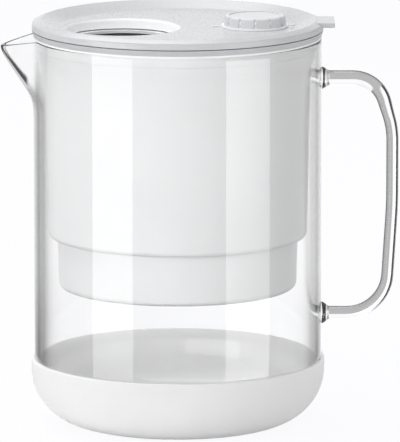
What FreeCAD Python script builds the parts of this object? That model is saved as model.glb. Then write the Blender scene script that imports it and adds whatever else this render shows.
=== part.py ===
"""Water filter pitcher: a glass jug with a drop-in hopper, a filter cartridge and a lid with a dial.

Millimetres. The origin is where the jug's upright axis meets the surface it stands on.
+Z is up, +X points to the handle and -X to the spout.
"""

import FreeCAD
import Part
import math
import os

from FreeCAD import Vector

# Glass jug
jug_diameter = 150.0
rim_height = 203.5
glass_wall = 2.5
glass_floor = 5.0
rim_rounding = 0.9

# Spout
spout_reach = 22.5
spout_slope = 0.68
spout_blend = 2.6
spout_toe_depth = 42.0
spout_lip_reach = 17.9
spout_lip_softness = 1.0
spout_lip_drop = 3.9
spout_root_angle = 15.0
spout_root_end = 1.6
spout_root_softness = 0.25
spout_root_sink = 0.05
spout_tip_softness = 0.16
spout_tip_softening = 0.5
spout_overrun = 5.0
spout_points = 24
spout_layers = 14

# Glass handle
handle_top_drop = 21.6
handle_bottom_height = 57.4
handle_reach = 37.0
handle_shoulder_inset = 7.9
handle_shoulder_drop = 26.9
handle_lean = 3.6
handle_lean_rise = 58.2
handle_top_bend = 17.0
handle_shoulder_bend = 45.0
handle_middle_bend = 250.0
handle_bottom_bend = 21.5
handle_top_diameter = 7.8
handle_grip_diameter = 6.4
handle_bottom_diameter = 7.0
handle_bead_radius = 6.0
handle_bead_sink = 1.5
handle_bead_blend = 2.0

# Silicone base sleeve
sleeve_wall = 1.8
sleeve_floor = 2.5
sleeve_corner = 29.0
sleeve_straight = 5.6
sleeve_lip_rounding = 0.85

# Hopper
hopper_bottom_height = 72.0
hopper_step_rise = 27.0
hopper_collar_depth = 10.0
hopper_bead_depth = 2.5
hopper_wall = 2.2
hopper_collar_gap = 1.3
hopper_bead_inset = 0.9
hopper_body_inset = 0.8
hopper_draft = 2.1
hopper_step_inset = 4.7
hopper_step_draft = 0.7
hopper_corner = 2.8
hopper_bottom_corner = 3.4
flange_overhang = 0.8
flange_thickness = 2.9
flange_taper = 0.8
hopper_seal_thickness = 1.0
hopper_seal_depth = 5.0
hopper_seal_clearance = 0.4

# Lid
lid_seam = 0.5
lid_skirt_height = 3.2
lid_skirt_wall = 2.0
lid_edge_rounding = 0.8
lid_bevel_width = 4.2
lid_bevel_height = 1.7
lid_crest_rounding = 1.6
lid_slope_width = 11.0
lid_dish_depth = 4.1
lid_dish_rounding = 9.0
lid_plate = 2.0
lid_tab_reach = 5.8
lid_tab_width = 25.0
lid_tab_thickness = 2.4
lid_tab_drop = 0.5
lid_tab_rounding = 1.6
lid_flange_thickness = 1.0
lid_flange_gap = 0.2
lid_plug_clearance = 1.0
lid_plug_depth = 5.9
lid_plug_wall = 2.0
lid_pan_floor = 1.4
lid_seal_height = 2.0
lid_seal_groove = 0.9
lid_seal_clearance = 0.3
lid_seal_tip = 0.3

# Fill funnel in the lid
fill_margin = 1.9
fill_dial_gap = 21.8
fill_flare = 1.9
fill_funnel_wall = 1.6
fill_funnel_gap = 0.6
fill_edge_rounding = 2.4
fill_ledge = 3.0

# Reminder dial
dial_margin = 4.0
dial_radius = 16.4
dial_draft = 0.8
dial_height = 5.0
dial_shell = 1.6
dial_crown_rounding = 1.2
dial_face_radius = 13.4
dial_face_recess = 0.4
dial_flutes = 12
dial_flute_radius = 0.7
dial_flute_end_radius = 1.3
dial_ring_overhang = 0.9
dial_ring_height = 1.2
dial_hub_radius = 6.6
spindle_radius = 4.0
spindle_fit = 0.05
spindle_neck_depth = 0.8
spindle_tail = 1.2
clip_thickness = 1.0
clip_gap = 0.2
clip_radius = 6.5
clip_mouth_angle = 80.0
dial_seal_radius = 0.9
dial_seal_fit = 0.1
mark_height = 0.4
mark_length = 3.7
mark_width = 1.6
mark_tip_width = 0.4
mark_gap = 1.2
mark_spacing = 8.8

# Filter cartridge
socket_radius = 29.0
socket_height = 19.0
socket_wall = 2.2
cartridge_spigot_gap = 0.6
cartridge_spigot_taper = 1.0
cartridge_bottom_gap = 1.5
cartridge_wall = 1.8
cartridge_flange_overhang = 2.0
cartridge_flange_thickness = 2.5
cartridge_body_radius = 30.5
cartridge_body_height = 56.0
cartridge_body_taper = 1.5
cartridge_seal_radius = 0.9
cartridge_seal_clearance = 0.3
cartridge_seal_drop = 8.0
cartridge_slots = 8
cartridge_slot_width = 2.4
cartridge_slot_inset = 4.0
cartridge_slot_length = 15.0
cartridge_edge_rounding = 1.0
mesh_thickness = 0.6
separator_thickness = 2.5
resin_height = 34.0
cap_height = 12.0
cap_wall = 1.8
cap_rim_overlap = 4.0
cap_corner = 5.0
cap_slot_width = 3.0
cap_slot_height = 5.0
loop_span = 24.0
loop_height = 9.0
loop_width = 8.0
loop_thickness = 2.6
loop_corner = 3.9

# Radii and heights that follow from the sizes above
jug_radius = jug_diameter / 2
bore_radius = jug_radius - glass_wall
sleeve_radius = jug_radius + sleeve_wall
glass_corner = sleeve_corner - sleeve_wall
inner_corner = glass_corner - glass_wall
glass_bottom = sleeve_floor
glass_floor_top = glass_bottom + glass_floor
sleeve_height = sleeve_corner + sleeve_straight
blank_top = rim_height + spout_overrun
handle_top_height = rim_height - handle_top_drop
handle_shoulder_height = handle_top_height - handle_shoulder_drop
handle_lean_height = handle_bottom_height + handle_lean_rise

collar_radius = bore_radius - hopper_collar_gap
collar_bore = collar_radius - hopper_wall
bead_radius = collar_radius - hopper_bead_inset
hopper_top_radius = bead_radius - hopper_body_inset
hopper_low_radius = hopper_top_radius - hopper_draft
step_top_radius = hopper_low_radius - hopper_step_inset
step_low_radius = step_top_radius - hopper_step_draft
hopper_step_height = hopper_bottom_height + hopper_step_rise
hopper_collar_height = rim_height - hopper_collar_depth
bead_bottom = hopper_collar_height - hopper_bead_depth
flange_bottom = rim_height + hopper_seal_thickness
flange_top = flange_bottom + flange_thickness
flange_radius = jug_radius + flange_overhang
hopper_floor = hopper_bottom_height + hopper_wall
hopper_seal_radius = bore_radius - hopper_seal_clearance

skirt_bottom = flange_top + lid_seam
skirt_top = skirt_bottom + lid_skirt_height
crest_radius = flange_radius - lid_bevel_width
crest_height = skirt_top + lid_bevel_height
dish_radius = crest_radius - lid_slope_width
dish_height = crest_height - lid_dish_depth
lid_flange_top = flange_top + lid_flange_thickness
lid_flange_radius = flange_radius - lid_skirt_wall - lid_flange_gap
plug_radius = collar_bore - lid_plug_clearance
pan_radius = plug_radius - lid_plug_wall
pan_bottom = flange_top - lid_plug_depth
pan_top = pan_bottom + lid_pan_floor
funnel_bottom = pan_top + fill_funnel_gap
dish_underside = dish_height - lid_plate
lid_groove_bottom = flange_top - (lid_plug_depth + lid_seal_height) / 2
lid_groove_top = lid_groove_bottom + lid_seal_height
lid_groove_radius = plug_radius - lid_seal_groove
dial_span = dial_margin + 2 * dial_radius + dial_ring_overhang
fill_mouth_radius = dish_radius - (fill_margin + fill_dial_gap + dial_span) / 2
fill_hole_radius = fill_mouth_radius - fill_flare
fill_centre = Vector(fill_margin + fill_mouth_radius - dish_radius, 0, 0)

dial_centre = Vector(dish_radius - dial_margin - dial_radius, 0, 0)
dial_ring_radius = dial_radius + dial_ring_overhang
dial_bottom = dish_height + dial_ring_height
dial_top = dial_bottom + dial_height
spindle_neck = spindle_radius - spindle_neck_depth
clip_top = dish_underside - clip_gap
clip_bottom = clip_top - clip_thickness
spindle_bottom = clip_bottom - spindle_tail
seal_ring_radius = spindle_radius + dial_seal_fit + dial_seal_radius
seal_pocket_radius = seal_ring_radius + dial_seal_radius

socket_top = hopper_bottom_height + socket_height
spigot_top_radius = socket_radius - cartridge_spigot_gap
spigot_low_radius = spigot_top_radius - cartridge_spigot_taper
cartridge_bottom = hopper_bottom_height + cartridge_bottom_gap
cartridge_floor_top = cartridge_bottom + cartridge_wall
cartridge_flange_radius = socket_radius + socket_wall + cartridge_flange_overhang
cartridge_flange_top = socket_top + cartridge_flange_thickness
cartridge_top = cartridge_flange_top + cartridge_body_height
cartridge_top_radius = cartridge_body_radius - cartridge_body_taper
cartridge_bore = spigot_low_radius - cartridge_wall
cartridge_seal_height = socket_top - cartridge_seal_drop
cartridge_seal_ring = socket_radius - cartridge_seal_clearance - cartridge_seal_radius
resin_bottom = cartridge_floor_top + mesh_thickness
resin_top = resin_bottom + resin_height
carbon_bottom = resin_top + separator_thickness
cap_seat = cartridge_top - cap_rim_overlap
carbon_top = cap_seat - mesh_thickness
cap_radius = cartridge_top_radius + cap_wall
cap_top = cartridge_top + cap_height

AXIS = Vector(0, 0, 0)
UP = Vector(0, 0, 1)


def rounded_wire(corners, place, closed=True):
    """Wire through corners (a, b, rounding), with a tangent arc at each rounded corner."""
    count = len(corners)
    edges = []
    last = None
    first = None
    for index, (a, b, rounding) in enumerate(corners):
        corner = Vector(a, b, 0)
        is_end = not closed and index in (0, count - 1)
        if rounding == 0 or is_end:
            start = corner
            end = corner
        else:
            before = Vector(*corners[index - 1][:2], 0) - corner
            after = Vector(*corners[(index + 1) % count][:2], 0) - corner
            before.normalize()
            after.normalize()
            half = before.getAngle(after) / 2
            start = corner + before * (rounding / math.tan(half))
            end = corner + after * (rounding / math.tan(half))
            bisector = (before + after).normalize()
            middle = corner + bisector * (rounding / math.sin(half) - rounding)
        if last is not None and (start - last).Length > 1e-6:
            edges.append(Part.makeLine(place(last), place(start)))
        if rounding != 0 and not is_end:
            edges.append(Part.Arc(place(start), place(middle), place(end)).toShape())
        if first is None:
            first = start
        last = end
    if closed and (first - last).Length > 1e-6:
        edges.append(Part.makeLine(place(last), place(first)))
    return Part.Wire(edges)


def upright(point):
    """Place a flat (radius, height) point in the XZ plane."""
    return Vector(point.x, 0, point.y)


def turned(corners, centre=AXIS):
    """Solid of revolution about the upright axis through centre."""
    face = Part.Face(rounded_wire(corners, upright))
    solid = face.revolve(AXIS, UP, 360)
    solid.translate(centre)
    return solid


def ring(inner, outer, bottom, top, centre=AXIS):
    """Plain ring or, with no inner radius, a plain disc."""
    corners = [(inner, bottom, 0), (outer, bottom, 0), (outer, top, 0), (inner, top, 0)]
    return turned(corners, centre)


def o_ring(ring_radius, cord_radius, height, centre=AXIS):
    """Round seal ring."""
    return Part.makeTorus(ring_radius, cord_radius, centre + Vector(0, 0, height), UP)


def around(shape, count):
    """Copies of a shape spaced evenly about the upright axis."""
    copies = []
    for index in range(count):
        copy = shape.copy()
        copy.rotate(AXIS, UP, 360 * index / count)
        copies.append(copy)
    return copies


def save(name, shape):
    """Write one piece, and print its solids and volume."""
    clean = shape.removeSplitter()
    print(name, len(clean.Solids), clean.isValid(), round(clean.Volume / 1000, 2), "cm3")
    clean.exportStep("parts/" + name + ".step")


def spout_line(depth):
    """Overhang of the spout on its straight part, held back to an upright lip at the top."""
    straight = spout_reach - spout_slope * depth
    beyond = straight - spout_lip_reach
    return (straight + spout_lip_reach - math.hypot(beyond, 2 * spout_lip_softness)) / 2


def spout_overhang(depth):
    """How far the spout stands out of the wall at a depth below the rim, eased in at the toe."""
    line = spout_line(depth)
    toe = spout_line(spout_toe_depth)
    return (line + math.hypot(line, spout_blend) - toe - math.hypot(toe, spout_blend)) / 2


def spout_share(turn, tip_softness):
    """Share of the overhang at a turn from the spout's middle: 1 at the tip, 0 where the root ends."""
    def eased(value):
        side = 1 - math.hypot(value, tip_softness)
        return side + math.hypot(side, spout_root_softness)

    return (eased(turn) - eased(spout_root_end)) / (eased(0) - eased(spout_root_end))


def spout_section(depth, inset):
    """Closed plan outline of the spout at a depth below the rim, set in by inset."""
    overhang = spout_overhang(depth)
    softness = spout_tip_softness + spout_tip_softening * max(depth, 0) / spout_toe_depth
    base = jug_radius - spout_root_sink

    def rim_point(turn):
        angle = math.radians(180 - spout_root_angle * turn)
        radius = base + (overhang + spout_root_sink) * spout_share(turn, softness)
        return Vector(radius * math.cos(angle), radius * math.sin(angle), 0)

    height = Vector(0, 0, rim_height - depth)
    turns = [spout_root_end * (2 * index / spout_points - 1) for index in range(spout_points + 1)]
    small = 1e-3
    outline = []
    for turn in turns:
        along = (rim_point(turn + small) - rim_point(turn - small)).normalize()
        inward = Vector(along.y, -along.x, 0)
        outline.append(rim_point(turn) + inward * inset + height)
    curve = Part.BSplineCurve()
    curve.interpolate(Points=outline, Parameters=turns)
    depth_inside = Vector(jug_radius / 3, 0, 0)
    back_end = outline[-1] + depth_inside
    back_start = outline[0] + depth_inside
    return Part.Wire([
        curve.toShape(),
        Part.makeLine(outline[-1], back_end),
        Part.makeLine(back_end, back_start),
        Part.makeLine(back_start, outline[0]),
    ])


def spout_solid(inset):
    """Solid spout, from below its toe to above the rim."""
    step = (spout_toe_depth + 2 * spout_overrun) / (spout_layers - 1)
    depths = [step * layer - spout_overrun for layer in range(spout_layers)]
    return Part.makeLoft([spout_section(depth, inset) for depth in depths], True, False)


def jug_blank():
    """Outside of the glass as a solid, without handle."""
    return turned([
        (0, glass_bottom, 0),
        (jug_radius, glass_bottom, glass_corner),
        (jug_radius, blank_top, 0),
        (0, blank_top, 0),
    ])


def make_glass_jug():
    cavity = turned([
        (0, glass_floor_top, 0),
        (bore_radius, glass_floor_top, inner_corner),
        (bore_radius, blank_top, 0),
        (0, blank_top, 0),
    ])
    outside = jug_blank().fuse(spout_solid(0))
    inside = cavity.fuse(spout_solid(glass_wall))
    wall = outside.cut(inside)

    # The rim is cut level, and its lip falls away to the spout's tip
    root_x = -jug_radius * math.cos(math.radians(spout_root_angle))
    lip_fall = spout_lip_drop / spout_lip_reach
    far_x = -2 * jug_radius
    far_height = rim_height - lip_fall * (root_x - far_x)
    above = rim_height + jug_radius
    outline = [
        (root_x, rim_height, 0),
        (far_x, far_height, 0),
        (far_x, above, 0),
        (2 * jug_radius, above, 0),
        (2 * jug_radius, rim_height, 0),
    ]
    waste = Part.Face(rounded_wire(outline, upright)).extrude(Vector(0, 4 * jug_radius, 0))
    waste.translate(Vector(0, -2 * jug_radius, 0))
    jug = wall.cut(waste).removeSplitter()
    lip_lowest = rim_height - 2 * spout_lip_drop
    rim_edges = [edge for edge in jug.Edges if edge.BoundBox.ZMin > lip_lowest]
    return jug.makeFillet(rim_rounding, rim_edges)


def handle_path():
    grip_x = jug_radius + handle_reach
    start_x = jug_radius - handle_bead_radius
    corners = [
        (start_x, handle_top_height, 0),
        (grip_x - handle_shoulder_inset, handle_top_height, handle_top_bend),
        (grip_x, handle_shoulder_height, handle_shoulder_bend),
        (grip_x, handle_lean_height, handle_middle_bend),
        (grip_x - handle_lean, handle_bottom_height, handle_bottom_bend),
        (start_x, handle_bottom_height, 0),
    ]
    return rounded_wire(corners, upright, closed=False)


def rod_section(point, travel, diameter):
    """Round rod outline square to the way the rod runs, starting on the +Y side."""
    side = Vector(0, 1, 0)
    circle = Part.makeCircle(diameter / 2)
    circle.Placement = FreeCAD.Placement(point, FreeCAD.Rotation(side, travel.cross(side), travel, "ZXY"))
    return Part.Wire(circle)


def make_glass_handle():
    path = handle_path()
    first = path.Edges[0].Vertexes[0].Point
    last = Vector(first.x, 0, handle_bottom_height)
    grip = path.Edges[4]
    middle = grip.valueAt((grip.FirstParameter + grip.LastParameter) / 2)
    sweep = Part.BRepOffsetAPI.MakePipeShell(path)
    sweep.setBiNormalMode(Vector(0, 1, 0))
    sweep.add(rod_section(first, Vector(1, 0, 0), handle_top_diameter))
    sweep.add(rod_section(middle, Vector(0, 0, -1), handle_grip_diameter))
    sweep.add(rod_section(last, Vector(-1, 0, 0), handle_bottom_diameter))
    sweep.build()
    sweep.makeSolid()
    beads = []
    for height in (handle_top_height, handle_bottom_height):
        centre = Vector(jug_radius - handle_bead_sink, 0, height)
        beads.append(Part.makeSphere(handle_bead_radius, centre, Vector(1, 0, 0)))
    handle = sweep.shape().fuse(beads).cut(jug_blank()).removeSplitter()

    # The seam between bead and rod runs round the rod, just outside the wall
    bead_end = jug_radius + handle_bead_radius
    seams = [
        edge for edge in handle.Edges
        if jug_radius < edge.BoundBox.XMin and edge.BoundBox.XMax < bead_end
    ]
    return handle.makeFillet(handle_bead_blend, seams)


def make_base_sleeve():
    bowl = turned([
        (0, 0, 0),
        (sleeve_radius, 0, sleeve_corner),
        (sleeve_radius, sleeve_height, sleeve_lip_rounding),
        (jug_radius, sleeve_height, 0),
        (0, sleeve_height, 0),
    ])
    return bowl.cut(jug_blank())


def make_hopper():
    outside = [
        (socket_radius, hopper_bottom_height, 0),
        (step_low_radius, hopper_bottom_height, hopper_bottom_corner),
        (step_top_radius, hopper_step_height, 0),
        (hopper_low_radius, hopper_step_height, hopper_corner),
        (hopper_top_radius, bead_bottom, 0),
        (bead_radius, bead_bottom, 0),
        (bead_radius, hopper_collar_height, 0),
        (collar_radius, hopper_collar_height, 0),
        (collar_radius, flange_bottom, 0),
        (flange_radius - flange_taper, flange_bottom, 0),
        (flange_radius, flange_top, 0),
    ]
    inside = [
        (collar_bore, flange_top, 0),
        (collar_bore, hopper_collar_height, 0),
        (hopper_top_radius - hopper_wall, bead_bottom, 0),
        (hopper_low_radius - hopper_wall, hopper_step_height + hopper_wall, hopper_corner - hopper_wall / 2),
        (step_top_radius - hopper_wall, hopper_step_height + hopper_wall, 0),
        (step_low_radius - hopper_wall, hopper_floor, hopper_bottom_corner - hopper_wall),
        (socket_radius + socket_wall, hopper_floor, 0),
        (socket_radius + socket_wall, socket_top, 0),
        (socket_radius, socket_top, 0),
    ]
    return turned(outside + inside)


def make_hopper_seal():
    """Ring with an L section, under the flange and against the collar."""
    low = rim_height - hopper_seal_depth
    outer = flange_radius - flange_taper
    return turned([
        (collar_radius, low, 0),
        (hopper_seal_radius, low, 0),
        (hopper_seal_radius, rim_height, 0),
        (outer, rim_height, 0),
        (outer, flange_bottom, 0),
        (collar_radius, flange_bottom, 0),
    ])


def lid_mark(start_x, middle_y, width, tip_width):
    """Raised mark on the lid, running from start_x along +X, with its tip at the far end."""
    outline = [
        Vector(start_x, middle_y - width / 2, dish_underside),
        Vector(start_x + mark_length, middle_y - tip_width / 2, dish_underside),
        Vector(start_x + mark_length, middle_y + tip_width / 2, dish_underside),
        Vector(start_x, middle_y + width / 2, dish_underside),
    ]
    face = Part.Face(Part.makePolygon(outline + outline[:1]))
    return face.extrude(Vector(0, 0, lid_plate + mark_height))


def lid_marks():
    """A pointer on the spout side of the dial and two dashes on its handle side."""
    pointer_x = dial_centre.x - dial_ring_radius - mark_gap - mark_length
    dash_x = dial_centre.x + dial_ring_radius + mark_gap
    marks = [lid_mark(pointer_x, 0, mark_width, mark_tip_width)]
    for side in (-1, 1):
        marks.append(lid_mark(dash_x, side * mark_spacing / 2, mark_width, mark_width))
    return marks


def on_mouth(point):
    """Whether a point lies on the upper edge of the fill funnel."""
    across = math.hypot(point.x - fill_centre.x, point.y)
    return abs(across - fill_mouth_radius) < fill_funnel_wall and point.z > dish_height - fill_funnel_gap


def lid_tab():
    """Flat lift tab over the handle, with its two outer corners rounded."""
    tip_x = flange_radius + lid_tab_reach
    low = crest_height - lid_tab_drop - lid_tab_thickness
    size = (tip_x - crest_radius, lid_tab_width, lid_tab_thickness)
    tab = Part.makeBox(*size, Vector(crest_radius, -lid_tab_width / 2, low))
    corners = [
        edge for edge in tab.Edges
        if edge.BoundBox.ZLength > lid_tab_thickness / 2 and edge.BoundBox.XMin > flange_radius
    ]
    return tab.makeFillet(lid_tab_rounding, corners)


def make_lid_top():
    skirt_bore = flange_radius - lid_skirt_wall
    cover = turned([
        (0, dish_underside, 0),
        (dish_radius, dish_underside, 0),
        (dish_radius, lid_flange_top, 0),
        (skirt_bore, lid_flange_top, 0),
        (skirt_bore, skirt_bottom, 0),
        (flange_radius, skirt_bottom, 0),
        (flange_radius, skirt_top, lid_edge_rounding),
        (crest_radius, crest_height, lid_crest_rounding),
        (dish_radius, dish_height, lid_dish_rounding),
        (0, dish_height, 0),
    ])
    flare = fill_flare / (dish_height - funnel_bottom)
    mouth_top_radius = fill_hole_radius + flare * (crest_height - funnel_bottom)
    funnel = turned([
        (0, funnel_bottom, 0),
        (fill_hole_radius + fill_funnel_wall, funnel_bottom, 0),
        (fill_mouth_radius + fill_funnel_wall, dish_underside, 0),
        (0, dish_underside, 0),
    ], fill_centre)
    mouth = turned([
        (0, funnel_bottom, 0),
        (fill_hole_radius, funnel_bottom, 0),
        (mouth_top_radius, crest_height, 0),
        (0, crest_height, 0),
    ], fill_centre)
    dial_ring = ring(0, dial_ring_radius, dish_underside, dial_bottom, dial_centre)
    cover = cover.fuse([funnel, lid_tab(), dial_ring] + lid_marks())
    spindle_hole = ring(0, spindle_radius + spindle_fit, dish_underside, dial_bottom, dial_centre)
    seal_pocket = ring(0, seal_pocket_radius, dial_bottom - 2 * dial_seal_radius, dial_bottom, dial_centre)
    cover = cover.cut([mouth, spindle_hole, seal_pocket]).removeSplitter()
    mouth_edges = [edge for edge in cover.Edges if all(on_mouth(vertex.Point) for vertex in edge.Vertexes)]
    return cover.makeFillet(fill_edge_rounding, mouth_edges)


def make_lid_base():
    pan = turned([
        (0, pan_bottom, 0),
        (plug_radius, pan_bottom, 0),
        (plug_radius, lid_groove_bottom, 0),
        (lid_groove_radius, lid_groove_bottom, 0),
        (lid_groove_radius, lid_groove_top, 0),
        (plug_radius, lid_groove_top, 0),
        (plug_radius, flange_top, 0),
        (lid_flange_radius, flange_top, 0),
        (lid_flange_radius, lid_flange_top, 0),
        (pan_radius, lid_flange_top, 0),
        (pan_radius, pan_top, 0),
        (0, pan_top, 0),
    ])
    hole = ring(0, fill_hole_radius - fill_ledge, pan_bottom, pan_top, fill_centre)
    return pan.cut(hole)


def make_lid_seal():
    return turned([
        (lid_groove_radius, lid_groove_bottom, 0),
        (plug_radius, lid_groove_bottom, 0),
        (collar_bore - lid_seal_clearance, (lid_groove_bottom + lid_groove_top) / 2, lid_seal_tip),
        (plug_radius, lid_groove_top, 0),
        (lid_groove_radius, lid_groove_top, 0),
    ])


def make_reminder_dial():
    top_radius = dial_radius - dial_draft
    knob = turned([
        (0, dial_bottom, 0),
        (dial_radius, dial_bottom, 0),
        (top_radius, dial_top, dial_crown_rounding),
        (dial_face_radius, dial_top, 0),
        (dial_face_radius, dial_top - dial_face_recess, 0),
        (0, dial_top - dial_face_recess, 0),
    ])
    hollow_radius = top_radius - dial_flute_end_radius - dial_shell
    hollow = ring(dial_hub_radius, hollow_radius, dial_bottom, dial_top - dial_shell)
    slant = math.atan2(dial_draft, dial_height)
    side = Vector(dial_radius, 0, dial_bottom)
    up_side = Vector(-math.sin(slant), 0, math.cos(slant))
    flute = Part.makeCylinder(dial_flute_radius, 2 * dial_height, side, up_side)
    flute_end = Part.makeSphere(dial_flute_end_radius, side)
    cuts = around(flute.fuse(flute_end), dial_flutes)
    spindle = turned([
        (0, spindle_bottom, 0),
        (spindle_radius, spindle_bottom, 0),
        (spindle_radius, clip_bottom, 0),
        (spindle_neck, clip_bottom, 0),
        (spindle_neck, clip_top, 0),
        (spindle_radius, clip_top, 0),
        (spindle_radius, dial_bottom + dial_shell, 0),
        (0, dial_bottom + dial_shell, 0),
    ])
    dial = knob.cut(hollow).cut(cuts).fuse(spindle)
    dial.translate(dial_centre)
    return dial


def make_dial_clip():
    disc = ring(spindle_neck, clip_radius, clip_bottom, clip_top)
    half = math.radians(clip_mouth_angle / 2)
    reach = 2 * clip_radius
    outline = [
        Vector(0, 0, clip_bottom),
        Vector(reach * math.cos(half), reach * math.sin(half), clip_bottom),
        Vector(reach * math.cos(half), -reach * math.sin(half), clip_bottom),
    ]
    mouth = Part.Face(Part.makePolygon(outline + outline[:1])).extrude(Vector(0, 0, clip_thickness))
    clip = disc.cut(mouth)
    clip.translate(dial_centre)
    return clip


def make_dial_seal():
    return o_ring(seal_ring_radius, dial_seal_radius, dial_bottom - dial_seal_radius, dial_centre)


def make_cartridge_seal():
    return o_ring(cartridge_seal_ring, cartridge_seal_radius, cartridge_seal_height)


def make_cartridge_shell():
    shell = turned([
        (0, cartridge_bottom, 0),
        (spigot_low_radius, cartridge_bottom, cartridge_edge_rounding),
        (spigot_top_radius, socket_top, 0),
        (cartridge_flange_radius, socket_top, 0),
        (cartridge_flange_radius, cartridge_flange_top, 0),
        (cartridge_body_radius, cartridge_flange_top, 0),
        (cartridge_top_radius, cartridge_top, 0),
        (cartridge_bore, cartridge_top, 0),
        (cartridge_bore, cartridge_floor_top, 0),
        (0, cartridge_floor_top, 0),
    ])
    slot_start = cartridge_bore - cartridge_slot_inset - cartridge_slot_length
    slot = Part.makeBox(
        cartridge_slot_length,
        cartridge_slot_width,
        cartridge_wall,
        Vector(slot_start, -cartridge_slot_width / 2, cartridge_bottom),
    )
    return shell.cut(around(slot, cartridge_slots) + [make_cartridge_seal()])


def make_cartridge_cap():
    cap = turned([
        (cartridge_bore - cap_wall, cap_seat, 0),
        (cartridge_bore, cap_seat, 0),
        (cartridge_bore, cartridge_top, 0),
        (cap_radius, cartridge_top, 0),
        (cap_radius, cap_top, cap_corner),
        (0, cap_top, 0),
        (0, cap_top - cap_wall, 0),
        (cap_radius - cap_wall, cap_top - cap_wall, cap_corner - cap_wall),
        (cap_radius - cap_wall, cartridge_top + cap_wall, 0),
        (cartridge_bore - cap_wall, cartridge_top + cap_wall, 0),
    ])
    slot = Part.makeBox(
        2 * cap_wall,
        cap_slot_width,
        cap_slot_height,
        Vector(cap_radius - 1.5 * cap_wall, -cap_slot_width / 2, cartridge_top + cap_wall),
    )
    cap = cap.cut(around(slot, cartridge_slots))
    half = loop_span / 2
    low = cap_top - cap_wall / 2
    outer = [
        (-half, low, 0),
        (half, low, 0),
        (half, cap_top + loop_height, loop_corner),
        (-half, cap_top + loop_height, loop_corner),
    ]
    inner_half = half - loop_thickness
    inner = [
        (-inner_half, cap_top, 0),
        (inner_half, cap_top, 0),
        (inner_half, cap_top + loop_height - loop_thickness, loop_corner - loop_thickness),
        (-inner_half, cap_top + loop_height - loop_thickness, loop_corner - loop_thickness),
    ]
    loop = Part.Face(rounded_wire(outer, upright)).extrude(Vector(0, loop_width, 0))
    gap = Part.Face(rounded_wire(inner, upright)).extrude(Vector(0, loop_width, 0))
    loop = loop.cut(gap)
    loop.translate(Vector(0, -loop_width / 2, 0))
    return cap.fuse(loop)


def main():
    os.makedirs("parts", exist_ok=True)
    save("glass_jug", make_glass_jug())
    save("glass_handle", make_glass_handle())
    save("base_sleeve", make_base_sleeve())
    save("hopper", make_hopper())
    save("hopper_seal", make_hopper_seal())
    save("lid_top", make_lid_top())
    save("lid_base", make_lid_base())
    save("lid_seal", make_lid_seal())
    save("reminder_dial", make_reminder_dial())
    save("dial_clip", make_dial_clip())
    save("dial_seal", make_dial_seal())
    save("cartridge_shell", make_cartridge_shell())
    save("cartridge_cap", make_cartridge_cap())
    save("cartridge_seal", make_cartridge_seal())
    save("cartridge_top_mesh", ring(0, cartridge_bore, carbon_top, cap_seat))
    save("cartridge_bottom_mesh", ring(0, cartridge_bore, cartridge_floor_top, resin_bottom))
    save("resin_bed", ring(0, cartridge_bore, resin_bottom, resin_top))
    save("bed_separator", ring(0, cartridge_bore, resin_top, carbon_bottom))
    save("carbon_bed", ring(0, cartridge_bore, carbon_bottom, carbon_top))


if __name__ == "__main__":
    main()
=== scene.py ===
import math

import bpy
from bpy.props import FloatProperty, FloatVectorProperty, IntProperty, PointerProperty
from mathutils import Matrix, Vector


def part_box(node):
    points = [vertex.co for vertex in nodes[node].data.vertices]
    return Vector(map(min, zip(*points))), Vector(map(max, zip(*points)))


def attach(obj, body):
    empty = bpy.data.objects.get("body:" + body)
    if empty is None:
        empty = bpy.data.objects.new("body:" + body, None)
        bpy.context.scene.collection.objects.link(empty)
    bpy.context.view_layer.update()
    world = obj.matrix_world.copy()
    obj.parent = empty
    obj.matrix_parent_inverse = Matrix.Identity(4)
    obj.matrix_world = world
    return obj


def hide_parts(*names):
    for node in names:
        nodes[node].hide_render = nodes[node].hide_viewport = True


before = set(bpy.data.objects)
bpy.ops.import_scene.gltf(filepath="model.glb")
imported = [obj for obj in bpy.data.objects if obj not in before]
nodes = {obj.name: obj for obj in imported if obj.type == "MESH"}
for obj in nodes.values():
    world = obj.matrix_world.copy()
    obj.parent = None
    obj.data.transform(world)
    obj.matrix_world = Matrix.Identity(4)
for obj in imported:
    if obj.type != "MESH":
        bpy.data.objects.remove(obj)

bl_info = {
    "name": "Water filter pitcher",
    "version": (1, 0, 0),
    "blender": (4, 5, 0),
    "location": "View3D > Sidebar > Pitcher",
    "description": "Glass body, finishes and photo studio of a water filter pitcher",
    "category": "Object",
}

# Rows of faces on the glass
CORNER_STEPS = 18
RIM_STEPS = 6
WALL_ROWS = 6
SPOUT_ROWS = 32
BEAD_SEGMENTS = 48
ROD_STEPS = 14

# Small lengths of the glass in metres
FLOOR_INSET = 0.002
SLEEVE_STEP = 0.0006
SPOUT_MARGIN = 0.004
SPOUT_RUN_OUT = 0.003
ROD_SINK = 0.0008

# Spout: where its root ends, counted in spout angles, and how soft its root and its tip are
ROOT_END = 1.6
ROOT_SOFTNESS = 0.25
TIP_SOFTNESS = 0.16
TIP_WIDENING = 0.5
FALL_ROUNDS = 6

# Bends of the handle from the shoulder down, in metres
HANDLE_BENDS = (0.017, 0.045, 0.25, 0.0215)

# How much of the grip's thickness the rod takes on at its first and its last bend
SHOULDER_SHARE = 0.4
FOOT_SHARE = 0.2

# Weld beads: radius and distance from the wall, with the taper's radius measured from the rod's
BEAD_COLLAR = ((0.0058, -0.0012), (0.00578, 0.0004), (0.0054, 0.0014), (0.0047, 0.0023))
BEAD_TAPER = ((0.0005, 0.003), (0.00015, 0.0037), (-0.0004, 0.005))
SMOOTH_ANGLE = math.radians(38)

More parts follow.
